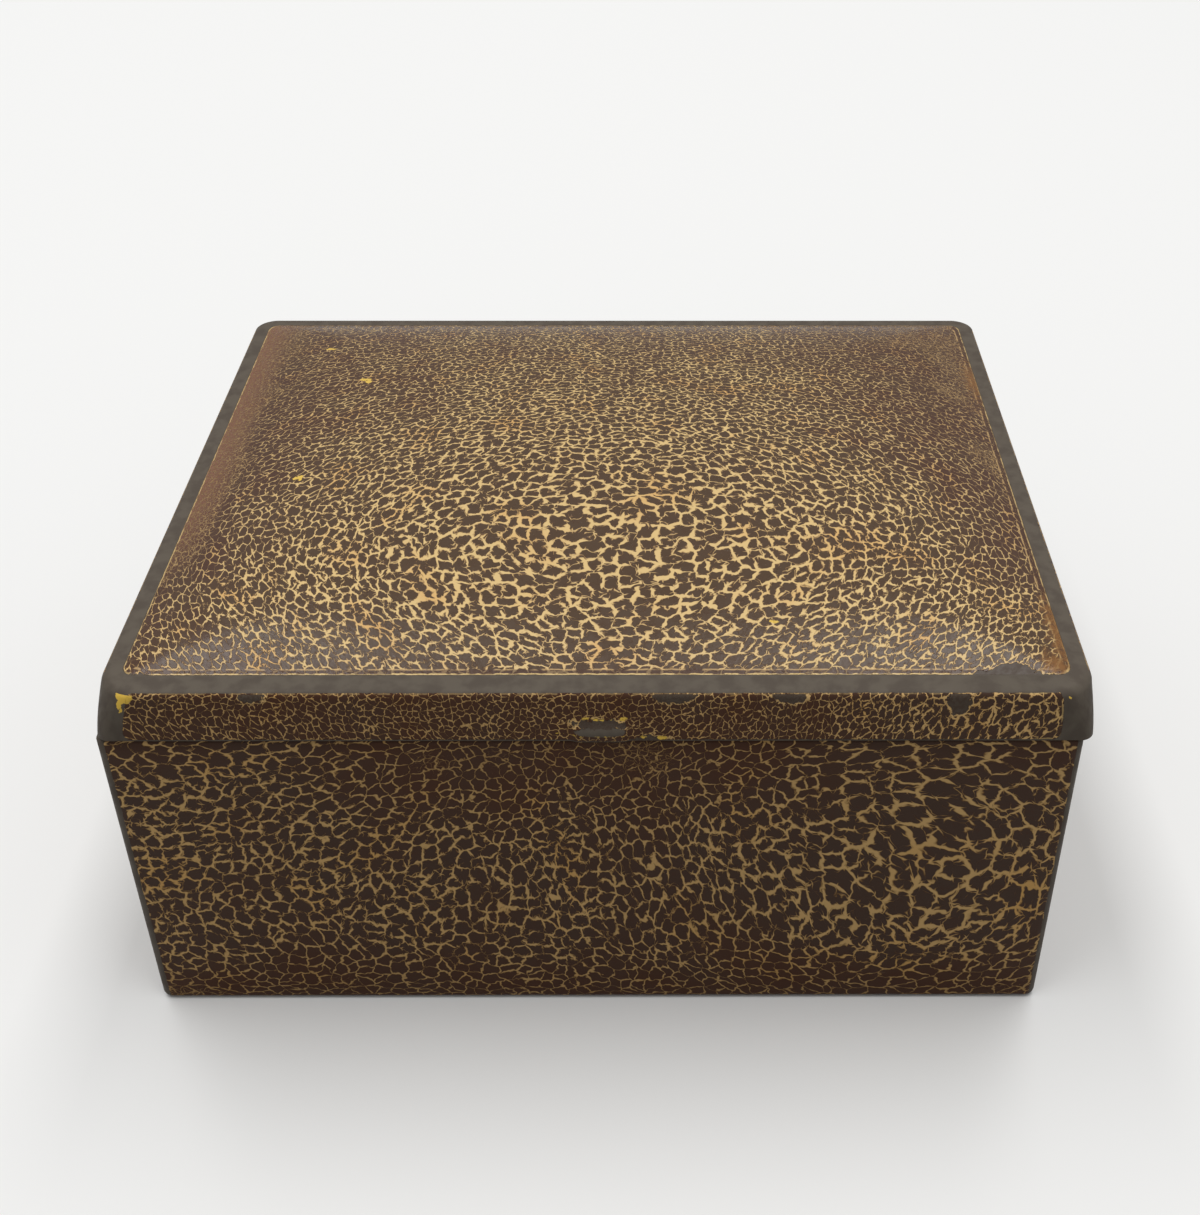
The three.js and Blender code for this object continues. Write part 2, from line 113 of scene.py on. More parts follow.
floor_material, tree = new_material("table_top")
colours = {0: seen_directly(tree), 6: (*FLOOR_BOUNCE, 1), 7: (*FLOOR_COLOUR, 1)}
base = add_node(tree, "Mix", colours, data_type="RGBA").outputs[2]
add_surface(tree, {"Base Color": base, "Roughness": 0.85, "Specular IOR Level": 0.1})
floor_mesh = bpy.data.meshes.new("table_top")
floor_corners = np.array([(-1, -1, 0), (1, -1, 0), (1, 1, 0), (-1, 1, 0)]) * FLOOR_HALF
floor_mesh.from_pydata(floor_corners, [], [(0, 1, 2, 3)])
floor_mesh.materials.append(floor_material)
floor = bpy.data.objects.new("table_top", floor_mesh)
bpy.context.scene.collection.objects.link(floor)

for name, lamp_x in (("lamp_left", LAMP_LEFT), ("lamp_right", LAMP_RIGHT)):
    lamp_data = bpy.data.lights.new(name, "AREA")
    lamp_data.energy = LAMP_WATTS
    lamp_data.shape = "RECTANGLE"
    lamp_data.size, lamp_data.size_y = LAMP_WIDTH, LAMP_DEPTH
    lamp = bpy.data.objects.new(name, lamp_data)
    lamp.location = (lamp_x, LAMP_BACK, LAMP_HEIGHT)
    bpy.context.scene.collection.objects.link(lamp)

world = bpy.data.worlds.new("white_room")
world.use_nodes = True
tree = world.node_tree
tree.nodes.clear()
levels = {"Value": seen_directly(tree), "To Min": ROOM_LIGHT, "To Max": ROOM_SEEN}
strength = add_node(tree, "MapRange", levels).outputs[0]
backdrop = add_node(tree, "Background", {"Strength": strength})
add_node(tree, "OutputWorld", {"Surface": backdrop.outputs[0]})
bpy.context.scene.world = world


# Walls: one strip of tinplate folded round four corners, turned in as a foot, necked in under the lid and
# rolled over at the rim. The outside is lacquered: a dark top coat shrank and cracked over gold, and at
# the folds it has rubbed off to dull metal. The inside is gold-lacquered tin.
SHEET = 0.35
WALL_HALF_WIDTH, WALL_HALF_DEPTH = 56.7, 47.2
WALL_MIDDLE, NECK_MIDDLE = -0.35, 0.3  # the neck sits a little to the right of the walls, as the lid does
WALL_CORNER_RADIUS, NECK_CORNER_RADIUS = 1.4, 4.6
LEAST_CORNER_RADIUS = 0.4
FOOT_FLANGE, FOOT_BEND_RADIUS = 4.5, 1.0
NECK_START, NECK_LENGTH, NECK_INSET = 43.7, 1.3, 1.1
NECK_LACQUERED = 0.65  # how far the lacquer runs up the neck's shoulder
RIM_TOP, RIM_RADIUS, RIM_TAIL = 50.15, 0.9, 0.6
LAP_WIDTH, LAP_LOW = 5.0, 3.55
WALL_WORN_EDGE = 0.6  # half width of the bare strip along each upright fold
FOOT_WORN_EDGE = 0.3  # height of the bare strip along the foot
CORNER_STEPS = 12
FRONT_STEPS, SIDE_STEPS = 160, 64
FRONT_CROWDING, SIDE_CROWDING = 0.75, -0.6  # above 0, steps are closer together at the side's middle
UPPER_ROW = 30  # a ring of the outer face not far below the neck
NOWHERE = -9.0  # far outside any spot


def smooth_step(value, low, high):
    """0 up to low, 1 from high on, and 3t^2 - 2t^3 between."""
    t = np.clip((value - low) / (high - low), 0, 1)
    return t * t * (3 - 2 * t)


def rounded_rings(half_width, half_depth, radius, z, centre=(0.0, 0.0), back=1.0):
    """Rounded rectangles at heights z, one row of points each, counter-clockwise from above.

    A corner is a quarter circle, at the back with back times the radius. A side joins two corners with
    steps at t = s + crowding x sin(2 pi s) / (2 pi), where s runs evenly from 0 to 1.
    """
    columns = [np.asarray(v, float)[:, None] for v in np.broadcast_arrays(half_width, half_depth, radius, z)]
    half_width, half_depth, radius, z = columns
    quarter = np.linspace(0, np.pi / 2, CORNER_STEPS + 1)
    corners = []
    for k, (x_sign, y_sign) in enumerate(((1, -1), (1, 1), (-1, 1), (-1, -1))):
        angle = quarter + (k - 1) * np.pi / 2
        curve = radius * back if y_sign > 0 else radius
        x = centre[0] + x_sign * (half_width - curve) + curve * np.cos(angle)
        y = centre[1] + y_sign * (half_depth - curve) + curve * np.sin(angle)
        corners.append(np.stack((x, y, np.broadcast_to(z, x.shape)), axis=2))
    parts = []
    for k, steps in enumerate((SIDE_STEPS, FRONT_STEPS, SIDE_STEPS, FRONT_STEPS)):
        s = np.arange(1, steps) / steps
        crowding = FRONT_CROWDING if steps == FRONT_STEPS else SIDE_CROWDING
        t = s + crowding * np.sin(2 * np.pi * s) / (2 * np.pi)
        start, end = corners[k][:, -1:], corners[(k + 1) % 4][:, :1]
        parts += [corners[k], start + t[None, :, None] * (end - start)]
    return np.concatenate(parts, axis=1)


def corner_distance(rings):
    """Distance along each ring to the middle of the nearest corner, the number of that corner, and the
    distance round the ring from the middle of its back left corner."""
    steps = np.linalg.norm(np.roll(rings, -1, axis=1) - rings, axis=2)
    along = np.cumsum(steps, axis=1) - steps
    length = steps.sum(axis=1)[:, None]
    first = CORNER_STEPS // 2
    side, front = CORNER_STEPS + SIDE_STEPS, CORNER_STEPS + FRONT_STEPS
    middles = along[:, [first, first + side, first + side + front, first + 2 * side + front]]
    gap = np.abs(along[:, :, None] - middles[:, None, :])
    gap = np.minimum(gap, length[:, :, None] - gap)
    return gap.min(axis=2), gap.argmin(axis=2), (along - middles[:, 2:3]) % length


def sheet_object(name, rings, breaks, materials, poles=None, values=None):
    """A sheet piece: quads between rings that run down its outside and back up its inside.

    Where the rings end in the middle of a panel, poles are the two points that close them with fans.
    Otherwise the last ring joins the first. From each of the rings in breaks on, the next material is used.
    """
    count, around = rings.shape[:2]
    upper = np.arange(count - 1 if poles is not None else count)
    lower = (upper + 1) % count
    i = np.arange(around)
    following = (i + 1) % around
    quads = np.stack(
        (
            upper[:, None] * around + i,
            lower[:, None] * around + i,
            lower[:, None] * around + following,
            upper[:, None] * around + following,
        ),
        axis=2,
    ).reshape(-1, 4)
    points = rings.reshape(-1, 3)
    faces = quads.tolist()
    slots = np.repeat(np.searchsorted(breaks, upper, side="right"), around)
    if poles is not None:
        first, last = len(points), len(points) + 1
        end = (count - 1) * around
        points = np.concatenate((points, poles))
        faces += np.stack((np.full(around, first), i, following), axis=1).tolist()
        faces += np.stack((np.full(around, last), end + following, end + i), axis=1).tolist()
        slots = np.concatenate((slots, np.full(around, 0), np.full(around, len(breaks))))
    mesh = bpy.data.meshes.new(name)
    mesh.from_pydata(points * 0.001, [], faces)
    for material in materials:
        mesh.materials.append(material)
    mesh.polygons.foreach_set("material_index", slots.astype(np.int32))
    mesh.polygons.foreach_set("use_smooth", np.ones(len(faces), bool))
    mesh.set_sharp_from_angle(angle=np.radians(50))
    for key, value in (values or {}).items():
        value = value.reshape(count * around, -1)
        if poles is not None:
            value = np.concatenate((value, value.reshape(count, around, -1)[[0, -1]].mean(axis=1)))
        kind, field = ("FLOAT_VECTOR", "vector") if key == "flat" else ("FLOAT", "value")
        mesh.attributes.new(key, kind, "POINT").data.foreach_set(field, value.ravel().astype(np.float32))
    mesh.validate()
    piece = bpy.data.objects.new(name, mesh)
    bpy.context.scene.collection.objects.link(piece)
    return piece


def arc(centre, height, radius, start, end, steps):
    """Points of an arc in a profile, as inset and height, between two angles in degrees."""
    angle = np.radians(np.linspace(start, end, steps + 1))
    return np.stack((centre + radius * np.cos(angle), height + radius * np.sin(angle)), axis=1)


def spots(points, places):
    """Largest over the spots of (1 - d) r, where d is the distance from a spot's centre measured in its
    three radii and r its least radius: about the depth inside the nearest spot, in millimetres. A row of
    places holds a centre and three radii."""
    places = np.asarray(places, float)
    centres, radii = places[:, :3], places[:, 3:6]
    away = np.linalg.norm((points[..., None, :] - centres) / radii, axis=-1)
    return ((1 - away) * radii.min(axis=1)).max(axis=-1)


def coarseness(points, places, base):
    """Base plus the largest over the patches of level x exp(-d^2), d measured in each patch's radii. A row of
    places holds a centre, three radii and a level."""
    places = np.asarray(places, float)
    away = np.linalg.norm((points[..., None, :] - places[:, :3]) / places[:, 3:6], axis=-1)
    return base + (places[:, 6] * np.exp(-(away**2))).max(axis=-1)


def magnified(flat, places):
    """Each place p of a flat sheet less the sum over the patches of s (p - c) exp(-d^2), where c is a patch's
    centre and d the distance from it in its radii: a pattern drawn there grows by 1 / (1 - s) around c. A row
    of places holds a centre, two radii and s."""
    places = np.asarray(places, float)
    offset = flat[..., None, :2] - places[:, :2]
    share = places[:, 4] * np.exp(-((offset / places[:, 2:4]) ** 2).sum(axis=-1))
    moved = flat.copy()
    moved[..., :2] -= (share[..., None] * offset).sum(axis=-2)
    return moved


def wall_face(depth):
    """One face of the strip, depth under its outer one, from the rolled rim's end to the foot's edge."""
    rim_centre, rim_spring = NECK_INSET + RIM_RADIUS, RIM_TOP - RIM_RADIUS
    t = np.linspace(1, 0, 9)
    neck = np.stack((NECK_INSET * smooth_step(t, 0, 1) + depth, NECK_START + NECK_LENGTH * t), axis=1)
    wall = np.linspace(NECK_START, FOOT_BEND_RADIUS, 26)[1:-1]
    return np.concatenate(
        (
            [(rim_centre + RIM_RADIUS - depth, rim_spring - RIM_TAIL)],
            arc(rim_centre, rim_spring, RIM_RADIUS - depth, 0, 180, 16),
            neck,
            np.stack((np.full_like(wall, depth), wall), axis=1),
            arc(FOOT_BEND_RADIUS, FOOT_BEND_RADIUS, FOOT_BEND_RADIUS - depth, 180, 270, 8),
            [(FOOT_FLANGE, depth)],
        )
    )


outer_face, inner_face = wall_face(0), wall_face(SHEET)[::-1]
profile = np.concatenate((outer_face, inner_face))
inset, height = profile.T
necked = smooth_step(height, NECK_START, NECK_START + NECK_LENGTH)
radius = WALL_CORNER_RADIUS + necked * (NECK_CORNER_RADIUS - WALL_CORNER_RADIUS) - inset
middle = WALL_MIDDLE + necked * (NECK_MIDDLE - WALL_MIDDLE)
rings = rounded_rings(
    WALL_HALF_WIDTH - inset,
    WALL_HALF_DEPTH - inset,
    np.maximum(radius, LEAST_CORNER_RADIUS),
    height,
    (middle[:, None], 0),
)
# The strip's two ends overlap inside the middle of the back wall
x, y, z = rings.transpose(2, 0, 1)
lap = smooth_step(LAP_WIDTH / 2 - np.abs(x), -0.1, 0.1) * (y > 0)
lap *= smooth_step(z - LAP_LOW, -0.1, 0.1) * smooth_step(NECK_START - z, 0, 0.2)
lap[: len(outer_face)] = 0
rings[..., 1] -= lap * SHEET

# How far each place lies inside bare metal: the upright folds, the foot's edge, the neck and the rim
gap, corner, along = corner_distance(rings)
bare = np.maximum(WALL_WORN_EDGE + 0.3 * (corner == 3) - gap, FOOT_WORN_EDGE - z)
outside = slice(len(outer_face))
bare[outside] = np.maximum(bare[outside], z[outside] - NECK_START - NECK_LACQUERED)
coarse = coarseness(
    rings,
    (
        (40, -47, 25, 20, 12, 18, 0.36),
        (-46, -47, 25, 26, 12, 18, 0.20),
        (-4, -47, 20, 28, 12, 13, 0.18),
        (-57, 12, 26, 10, 26, 16, 0.55),
        (57, -16, 24, 10, 20, 15, 0.6),
        (57, 28, 28, 10, 14, 14, 0.35),
        (-28, 47, 22, 24, 10, 15, 0.6),
        (34, 47, 27, 20, 10, 15, 0.4),
    ),
    0.22,
)
coarse *= 0.1 + 0.9 * smooth_step(z, 0, 13)
coarse -= 0.27 * np.exp(-(((x + 4) / 26) ** 2) - ((z - 42) / 7) ** 2) * (y < 0)
nowhere = np.full(coarse.shape, NOWHERE)
# The strip rolled out from the middle of the front, and stretched where the crackle is coarse
front = np.argmin(np.where(y[UPPER_ROW] < 0, np.abs(x[UPPER_ROW]), WALL_HALF_WIDTH))
flat = np.stack(np.broadcast_arrays(along[UPPER_ROW] - along[UPPER_ROW, front], z, 0.0), axis=2)
flat = magnified(
    flat,
    (
        (41, 25, 27, 28, 0.42),
        (-4, 44, 36, 18, -0.35),
        (-40, -5, 30, 14, -0.22),
        (-2, -5, 30, 14, -0.22),
        (36, -5, 30, 14, -0.22),
        (92, 24, 24, 22, 0.40),
        (236, 22, 30, 22, 0.40),
        (-116, 26, 30, 22, 0.35),
    ),
)
flat[..., 0] *= 0.57
flat[..., 1] = np.interp(flat[..., 1], (-20, 0, 5, 13, 70), (-20, 0, 4.4, 9.6, 42.7))
wall_values = {"coarse": coarse, "bare": bare, "flat": flat, "rim": 0 * coarse, "second": 0 * coarse}
wall_values |= {"chips_and_shade": nowhere, "primer_and_highlight": nowhere, "stain": nowhere}


def calc(tree, operation, *values):
    """Adds a Math node and gives its result."""
    return add_node(tree, "Math", dict(enumerate(values)), operation=operation).outputs[0]


def product(tree, first, *others):
    """Adds Math nodes that multiply the values, and gives their product."""
    for other in others:
        first = calc(tree, "MULTIPLY", first, other)
    return first


def ramp(tree, value, start, end, low=0.0, high=1.0):
    """Adds a smooth step from low at start to high at end. Start may be above end."""
    limits = {"Value": value, "From Min": start, "From Max": end, "To Min": low, "To Max": high}
    return add_node(tree, "MapRange", limits, interpolation_type="SMOOTHSTEP").outputs[0]


def blend(tree, share, first, second):
    """Adds a colour mix and gives its result."""
    colours = {0: share, 6: first, 7: second}
    colours = {k: (*v, 1) if isinstance(v, tuple) else v for k, v in colours.items()}
    return add_node(tree, "Mix", colours, data_type="RGBA").outputs[2]


def noise(tree, place, size, detail=2.0, output=0, dimensions="2D"):
    """Adds a noise of blobs about size millimetres across, and gives its value or its colour."""
    inputs = {"Vector": place, "Scale": 1 / size, "Detail": detail}
    return add_node(tree, "TexNoise", inputs, noise_dimensions=dimensions).outputs[output]


def edge_distance(tree, place, size):
    """Adds a network of cells about size millimetres across, and gives the distance to their nearest edge."""
    inputs = {"Vector": place, "Scale": 1 / size, "Randomness": 0.95}
    cells = add_node(tree, "TexVoronoi", inputs, feature="DISTANCE_TO_EDGE", voronoi_dimensions="2D")
    return product(tree, cells.outputs["Distance"], size)


def new_group(name, takes, gives):
    """Makes a shader node group with named sockets, and gives it with its inputs and its output node."""
    group = bpy.data.node_groups.new(name, "ShaderNodeTree")
    for socket, kind in takes.items():
        group.interface.new_socket(socket, in_out="INPUT", socket_type="NodeSocket" + kind)
    for socket, kind in gives.items():
        group.interface.new_socket(socket, in_out="OUTPUT", socket_type="NodeSocket" + kind)
    return group, group.nodes.new("NodeGroupInput").outputs, group.nodes.new("NodeGroupOutput").inputs


def add_group(tree, group, inputs):
    """Places a node group in a tree and gives its outputs."""
    node = tree.nodes.new("ShaderNodeGroup")
    node.node_tree = group
    for key, value in inputs.items():
        if isinstance(value, bpy.types.NodeSocket):
            tree.links.new(value, node.inputs[key])
        else:
            node.inputs[key].default_value = value
    return node.outputs


def place_in_millimetres(tree):
    """Object coordinates in millimetres."""
    place = add_node(tree, "TexCoord").outputs["Object"]
    return add_node(tree, "VectorMath", {"Vector": place, "Scale": 1000.0}, operation="SCALE").outputs[0]


# The crackle is one network of cell edges with short branches into its islands. The sheet that it is drawn
# on is stretched where the coat was thick, so that islands and cracks both grow there.
ISLAND_SIZE, BRANCH_SIZE = 1.05, 0.6
CRACK_HALF, THIN_HALF, BRANCH_HALF = 0.126, 0.052, 0.046  # half widths of the cracks
BRANCH_REACH = 0.36
STRAYS = ((5.0, 1.2), (0.7, 0.52), (0.28, 0.17))  # over what lengths the cracks stray, and how far
RAGGED = 0.06

crackle, taken, given = new_group(
    "crackle",
    {"Place": "Vector", "Coarse": "Float"},
    {"Crack": "Float", "Heart": "Float", "Island": "Float", "Fine": "Float", "Thin": "Float"},
)
tree = crackle
place = taken["Place"]
drift = calc(tree, "MULTIPLY_ADD", noise(tree, place, 9.0, 2.0), 0.5, -0.25)
coarse_here = calc(tree, "ADD", taken["Coarse"], drift)
moved = place
for size, stray in STRAYS:
    inputs = {0: noise(tree, place, size, 0.5, 1), 1: (stray, stray, stray), 2: moved}
    moved = add_node(tree, "VectorMath", inputs, operation="MULTIPLY_ADD").outputs[0]
least = ramp(tree, coarse_here, 0.0, 0.5, 0.3, -0.02)  # wide cracks run out here and there
taper = ramp(tree, noise(tree, place, 1.1, 1.0), 0.34, 0.58, least, 1.15)
open_here = ramp(tree, coarse_here, -0.3, 1.2, THIN_HALF, CRACK_HALF)
edge = edge_distance(tree, moved, ISLAND_SIZE)
depth = calc(tree, "SUBTRACT", product(tree, open_here, taper), edge)
branch = edge_distance(tree, moved, BRANCH_SIZE)
# Branches start at the island's edge and narrow inwards. In the finest crackle they are a network too
reach = product(tree, ramp(tree, edge, BRANCH_REACH, 0.05, -0.5, 1.0), BRANCH_HALF)
reach = calc(tree, "ADD", reach, ramp(tree, coarse_here, 0.0, 0.5, -0.06, 0.0))
reach = calc(tree, "MAXIMUM", reach, ramp(tree, coarse_here, 0.08, -0.12, -0.06, 0.03))
depth = calc(tree, "SMOOTH_MAX", depth, calc(tree, "SUBTRACT", reach, branch), 0.02)
ragged = calc(tree, "SUBTRACT", noise(tree, place, 0.35, 2.0), 0.5)
depth = calc(tree, "MULTIPLY_ADD", ragged, RAGGED, depth)
faded = ramp(tree, taken["Coarse"], -0.5, 0.3, 0.4, 1.0)
tree.links.new(product(tree, ramp(tree, depth, -0.018, 0.018), faded), given["Crack"])
heart = product(tree, ramp(tree, depth, -0.02, 0.06), ramp(tree, coarse_here, -0.3, 0.5, 0.45, 1.0))
tree.links.new(heart, given["Heart"])
tree.links.new(ramp(tree, depth, -0.005, -0.03), given["Island"])
tree.links.new(ramp(tree, coarse_here, 0.45, 0.05), given["Fine"])
tree.links.new(ramp(tree, taken["Coarse"], -0.02, -0.56), given["Thin"])

GOLD, DULL_GOLD, ORANGE_GOLD = (0.70, 0.455, 0.19), (0.34, 0.20, 0.08), (0.70, 0.41, 0.14)
PALE_GOLD = (0.73, 0.515, 0.22)
# LIT_COAT is the coat made lighter for the lid's pillow: painted sheen on its top
DARK_COAT, LIT_COAT = (0.072, 0.042, 0.029), (0.084, 0.048, 0.025)
RED_COAT, CRACK_EDGE = (0.078, 0.034, 0.019), (0.15, 0.075, 0.030)
THIN_COAT = (0.262, 0.108, 0.064)
DULL_METAL, DARK_METAL = (0.122, 0.102, 0.080), (0.096, 0.078, 0.062)
# The brown of chipped metal, also used as painted shade in a band along the top of the thumb lip
CHIP_BROWN_AND_SHADE = (0.080, 0.056, 0.041)
# Yellow primer, also used for a thin painted highlight along the thumb lip
PRIMER_YELLOW_AND_HIGHLIGHT = (0.80, 0.53, 0.09)
STAIN_BROWN = (0.26, 0.115, 0.03)


def crackle_lacquer(name, coat, gold, specular, smoothest):
    """The crackled coat over gold with its worn places, as strongly shining and as smooth as asked."""
    material, tree = new_material(name)
    place = add_node(tree, "Attribute", attribute_name="flat").outputs["Vector"]
    signed = {
        key: add_node(tree, "Attribute", attribute_name=key).outputs["Fac"]
        for key in ("coarse", "bare", "chips_and_shade", "primer_and_highlight", "stain", "rim", "second")
    }
    cracks = add_group(tree, crackle, {"Place": place, "Coarse": signed["coarse"]})
    tatter = calc(tree, "MULTIPLY_ADD", noise(tree, place, 0.8, 3.0), 1.0, -0.5)
    slow = noise(tree, place, 6.0, 2.0)
    speckle = noise(tree, place, 0.35, 2.0)
    dashes = ramp(tree, noise(tree, place, 1.6, 2.0), 0.42, 0.52)

    bare_edge = calc(tree, "MULTIPLY_ADD", tatter, 0.2, signed["bare"])
    chips_and_shade_edge = calc(tree, "MULTIPLY_ADD", tatter, 1.1, signed["chips_and_shade"])
    bare_mask = ramp(tree, bare_edge, -0.03, 0.03)
    chips_and_shade_mask = ramp(tree, chips_and_shade_edge, -0.04, 0.04)
    worn = calc(tree, "MAXIMUM", bare_mask, chips_and_shade_mask)
    primer_and_highlight_mask = ramp(tree, calc(tree, "MULTIPLY_ADD", tatter, 0.5, signed["primer_and_highlight"]), -0.04, 0.04)
    stain_mask = ramp(tree, calc(tree, "MULTIPLY_ADD", tatter, 3.0, signed["stain"]), -0.6, 1.4, 0.0, 0.85)

    gold = blend(tree, ramp(tree, slow, 0.5, 0.8), gold, ORANGE_GOLD)
    gold = blend(tree, cracks["Heart"], DULL_GOLD, gold)
    redness = product(tree, cracks["Fine"], ramp(tree, slow, 0.25, 0.7, 0.55, 1.0))
    coat = blend(tree, redness, coat, RED_COAT)
    coat = blend(tree, ramp(tree, speckle, 0.55, 0.75, 0.0, 0.35), coat, RED_COAT)
    coat = blend(tree, cracks["Thin"], coat, THIN_COAT)
    coat = blend(tree, cracks["Island"], CRACK_EDGE, coat)
    base = blend(tree, cracks["Crack"], coat, gold)

    # Pale lines where the coat's edge is rubbed: along the panel's edge, a second one in from it, and
    # round chips
    strong_rim = ramp(tree, signed["rim"], 0.6, 0.9)
    has_second = ramp(tree, signed["second"], 0.2, 0.4)
    partly_dashed = calc(tree, "MULTIPLY_ADD", dashes, 0.55, 0.45)
    edge_line = product(tree, ramp(tree, bare_edge, -0.17, -0.11), strong_rim, partly_dashed)
    broken_line = product(tree, ramp(tree, bare_edge, -0.22, -0.15), signed["rim"], dashes)
    from_second = calc(tree, "ABSOLUTE", calc(tree, "ADD", bare_edge, signed["second"]))
    second_line = product(tree, ramp(tree, from_second, 0.13, 0.06), has_second, dashes, 0.6)
    chip_line = product(tree, ramp(tree, chips_and_shade_edge, -0.18, -0.11), dashes)
    between_lines = product(tree, ramp(tree, bare_edge, -0.75, -0.65), has_second, 0.75)
    base = blend(tree, between_lines, base, RED_COAT)
    base = blend(tree, calc(tree, "MAXIMUM", second_line, chip_line), base, GOLD)
    base = blend(tree, calc(tree, "MAXIMUM", edge_line, broken_line), base, PALE_GOLD)
    base = blend(tree, stain_mask, base, STAIN_BROWN)
    metal = blend(tree, ramp(tree, noise(tree, place, 3.0, 4.0), 0.35, 0.68), DULL_METAL, DARK_METAL)
    # Chips are dulled towards brown; along the top of the thumb lip this dark band is painted shade
    chip_dirt_and_shade = product(tree, chips_and_shade_mask, ramp(tree, speckle, 0.4, 0.6, 1.0, 0.6))
    metal = blend(tree, chip_dirt_and_shade, metal, CHIP_BROWN_AND_SHADE)
    base = blend(tree, worn, base, metal)
    # Yellow primer in chips and blisters, and a thin painted highlight along the thumb lip
    base = blend(tree, primer_and_highlight_mask, base, PRIMER_YELLOW_AND_HIGHLIGHT)

    rough_coat = ramp(tree, noise(tree, place, 1.6, 3.0), 0.3, 0.7, smoothest, smoothest + 0.09)
    rough_coat = calc(tree, "MULTIPLY_ADD", cracks["Crack"], 0.14, rough_coat)
    rough_metal = ramp(tree, noise(tree, place, 1.1, 4.0), 0.3, 0.7, 0.44, 0.60)
    roughness = add_node(tree, "Mix", {0: worn, 2: rough_coat, 3: rough_metal}, data_type="FLOAT").outputs[0]
    relief = calc(tree, "MULTIPLY_ADD", cracks["Island"], 0.45, product(tree, speckle, 0.15))
    relief = product(tree, relief, calc(tree, "SUBTRACT", 1.0, worn))
    relief = calc(tree, "MULTIPLY_ADD", worn, -0.8, relief)
    bump = add_node(tree, "Bump", {"Strength": 0.8, "Distance": 0.00012, "Height": relief})
    surface = {"Base Color": base, "Roughness": roughness, "Normal": bump.outputs[0]}
    add_surface(tree, surface | {"Specular IOR Level": specular})
    return material


dull_lacquer = crackle_lacquer("crackle_lacquer", DARK_COAT, GOLD, 0.08, 0.36)
# The pillow's copy shines more and is smoother, and its lighter coat, LIT_COAT, is painted sheen
polished_lacquer_painted_sheen = crackle_lacquer("polished_crackle_lacquer_painted_sheen", LIT_COAT, PALE_GOLD, 0.34, 0.25)

TIN_GOLD, TIN_PALE, TIN_BROWN = (0.56, 0.40, 0.15), (0.66, 0.50, 0.23), (0.17, 0.085, 0.03)
gold_tin, tree = new_material("gold_lacquered_tin")
place = place_in_millimetres(tree)
cloud = noise(tree, place, 18.0, 3.0, 0, "3D")
base = blend(tree, ramp(tree, cloud, 0.35, 0.65), TIN_GOLD, TIN_PALE)
specks = ramp(tree, noise(tree, place, 1.3, 3.0, 0, "3D"), 0.66, 0.74)
spots_seen = product(tree, specks, ramp(tree, cloud, 0.4, 0.6))
base = blend(tree, product(tree, spots_seen, 0.75), base, TIN_BROWN)
roll_lines = add_node(tree, "VectorMath", {0: place, 1: (0.05, 2.2, 2.2)}, operation="MULTIPLY").outputs[0]
streak = noise(tree, roll_lines, 1.0, 3.0, 0, "3D")
roughness = calc(tree, "MULTIPLY_ADD", spots_seen, 0.25, ramp(tree, streak, 0.3, 0.7, 0.26, 0.40))
bump = add_node(tree, "Bump", {"Strength": 0.25, "Distance": 0.00005, "Height": streak})
add_surface(
    tree, {"Base Color": base, "Metallic": 0.85, "Roughness": roughness, "Normal": bump.outputs[0]}
)

walls = sheet_object("walls", rings, [len(outer_face) - 1], (dull_lacquer, gold_tin), values=wall_values)
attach(walls, "case")
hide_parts("body_wall")


# Floor pan: a shallow tray pressed from gold-lacquered tin, dropped in from above on to the foot of the
# walls. A low step all round stiffens its middle.
PAN_GAP = 0.3
PAN_LOW, PAN_FLANGE, PAN_BEND_RADIUS = 0.45, 3.0, 0.8
PAN_STEP_INSET, PAN_STEP_RUN, PAN_STEP_RISE = 6.0, 1.0, 0.8
pan_half_width = WALL_HALF_WIDTH - SHEET - PAN_GAP
pan_half_depth = WALL_HALF_DEPTH - SHEET - PAN_GAP
pan_corner = WALL_CORNER_RADIUS - SHEET - PAN_GAP


def pan_face(rise):
    """One face of the pan, rise above its underside, from the middle out and up the turned-up edge."""
    inside = np.linspace(40, PAN_STEP_INSET + PAN_STEP_RUN, 12)
    t = np.linspace(0, 1, 9)[1:-1]
    step = PAN_STEP_RISE * smooth_step(1 - t, 0, 1)
    return np.concatenate(
        (
            np.stack((inside, np.full_like(inside, PAN_LOW + PAN_STEP_RISE + rise)), axis=1),
            np.stack((PAN_STEP_INSET + PAN_STEP_RUN * (1 - t), PAN_LOW + step + rise), axis=1),
            [(PAN_STEP_INSET, PAN_LOW + rise)],
            arc(PAN_BEND_RADIUS, PAN_LOW + PAN_BEND_RADIUS, PAN_BEND_RADIUS - rise, 270, 180, 8),
            [(rise, PAN_LOW + PAN_FLANGE)],
        )
    )


upper_face, under_face = pan_face(SHEET), pan_face(0)[::-1]
inset, height = np.concatenate((upper_face, under_face)).T
rings = rounded_rings(
    pan_half_width - inset,
    pan_half_depth - inset,
    np.maximum(pan_corner - inset, LEAST_CORNER_RADIUS),
    height,
    (WALL_MIDDLE, 0),
)
middle = PAN_LOW + PAN_STEP_RISE
poles = [(WALL_MIDDLE, 0, middle + SHEET), (WALL_MIDDLE, 0, middle)]
pan = sheet_object("pan", rings, [], (gold_tin,), poles=poles)
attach(pan, "case")
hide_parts("floor_pan")


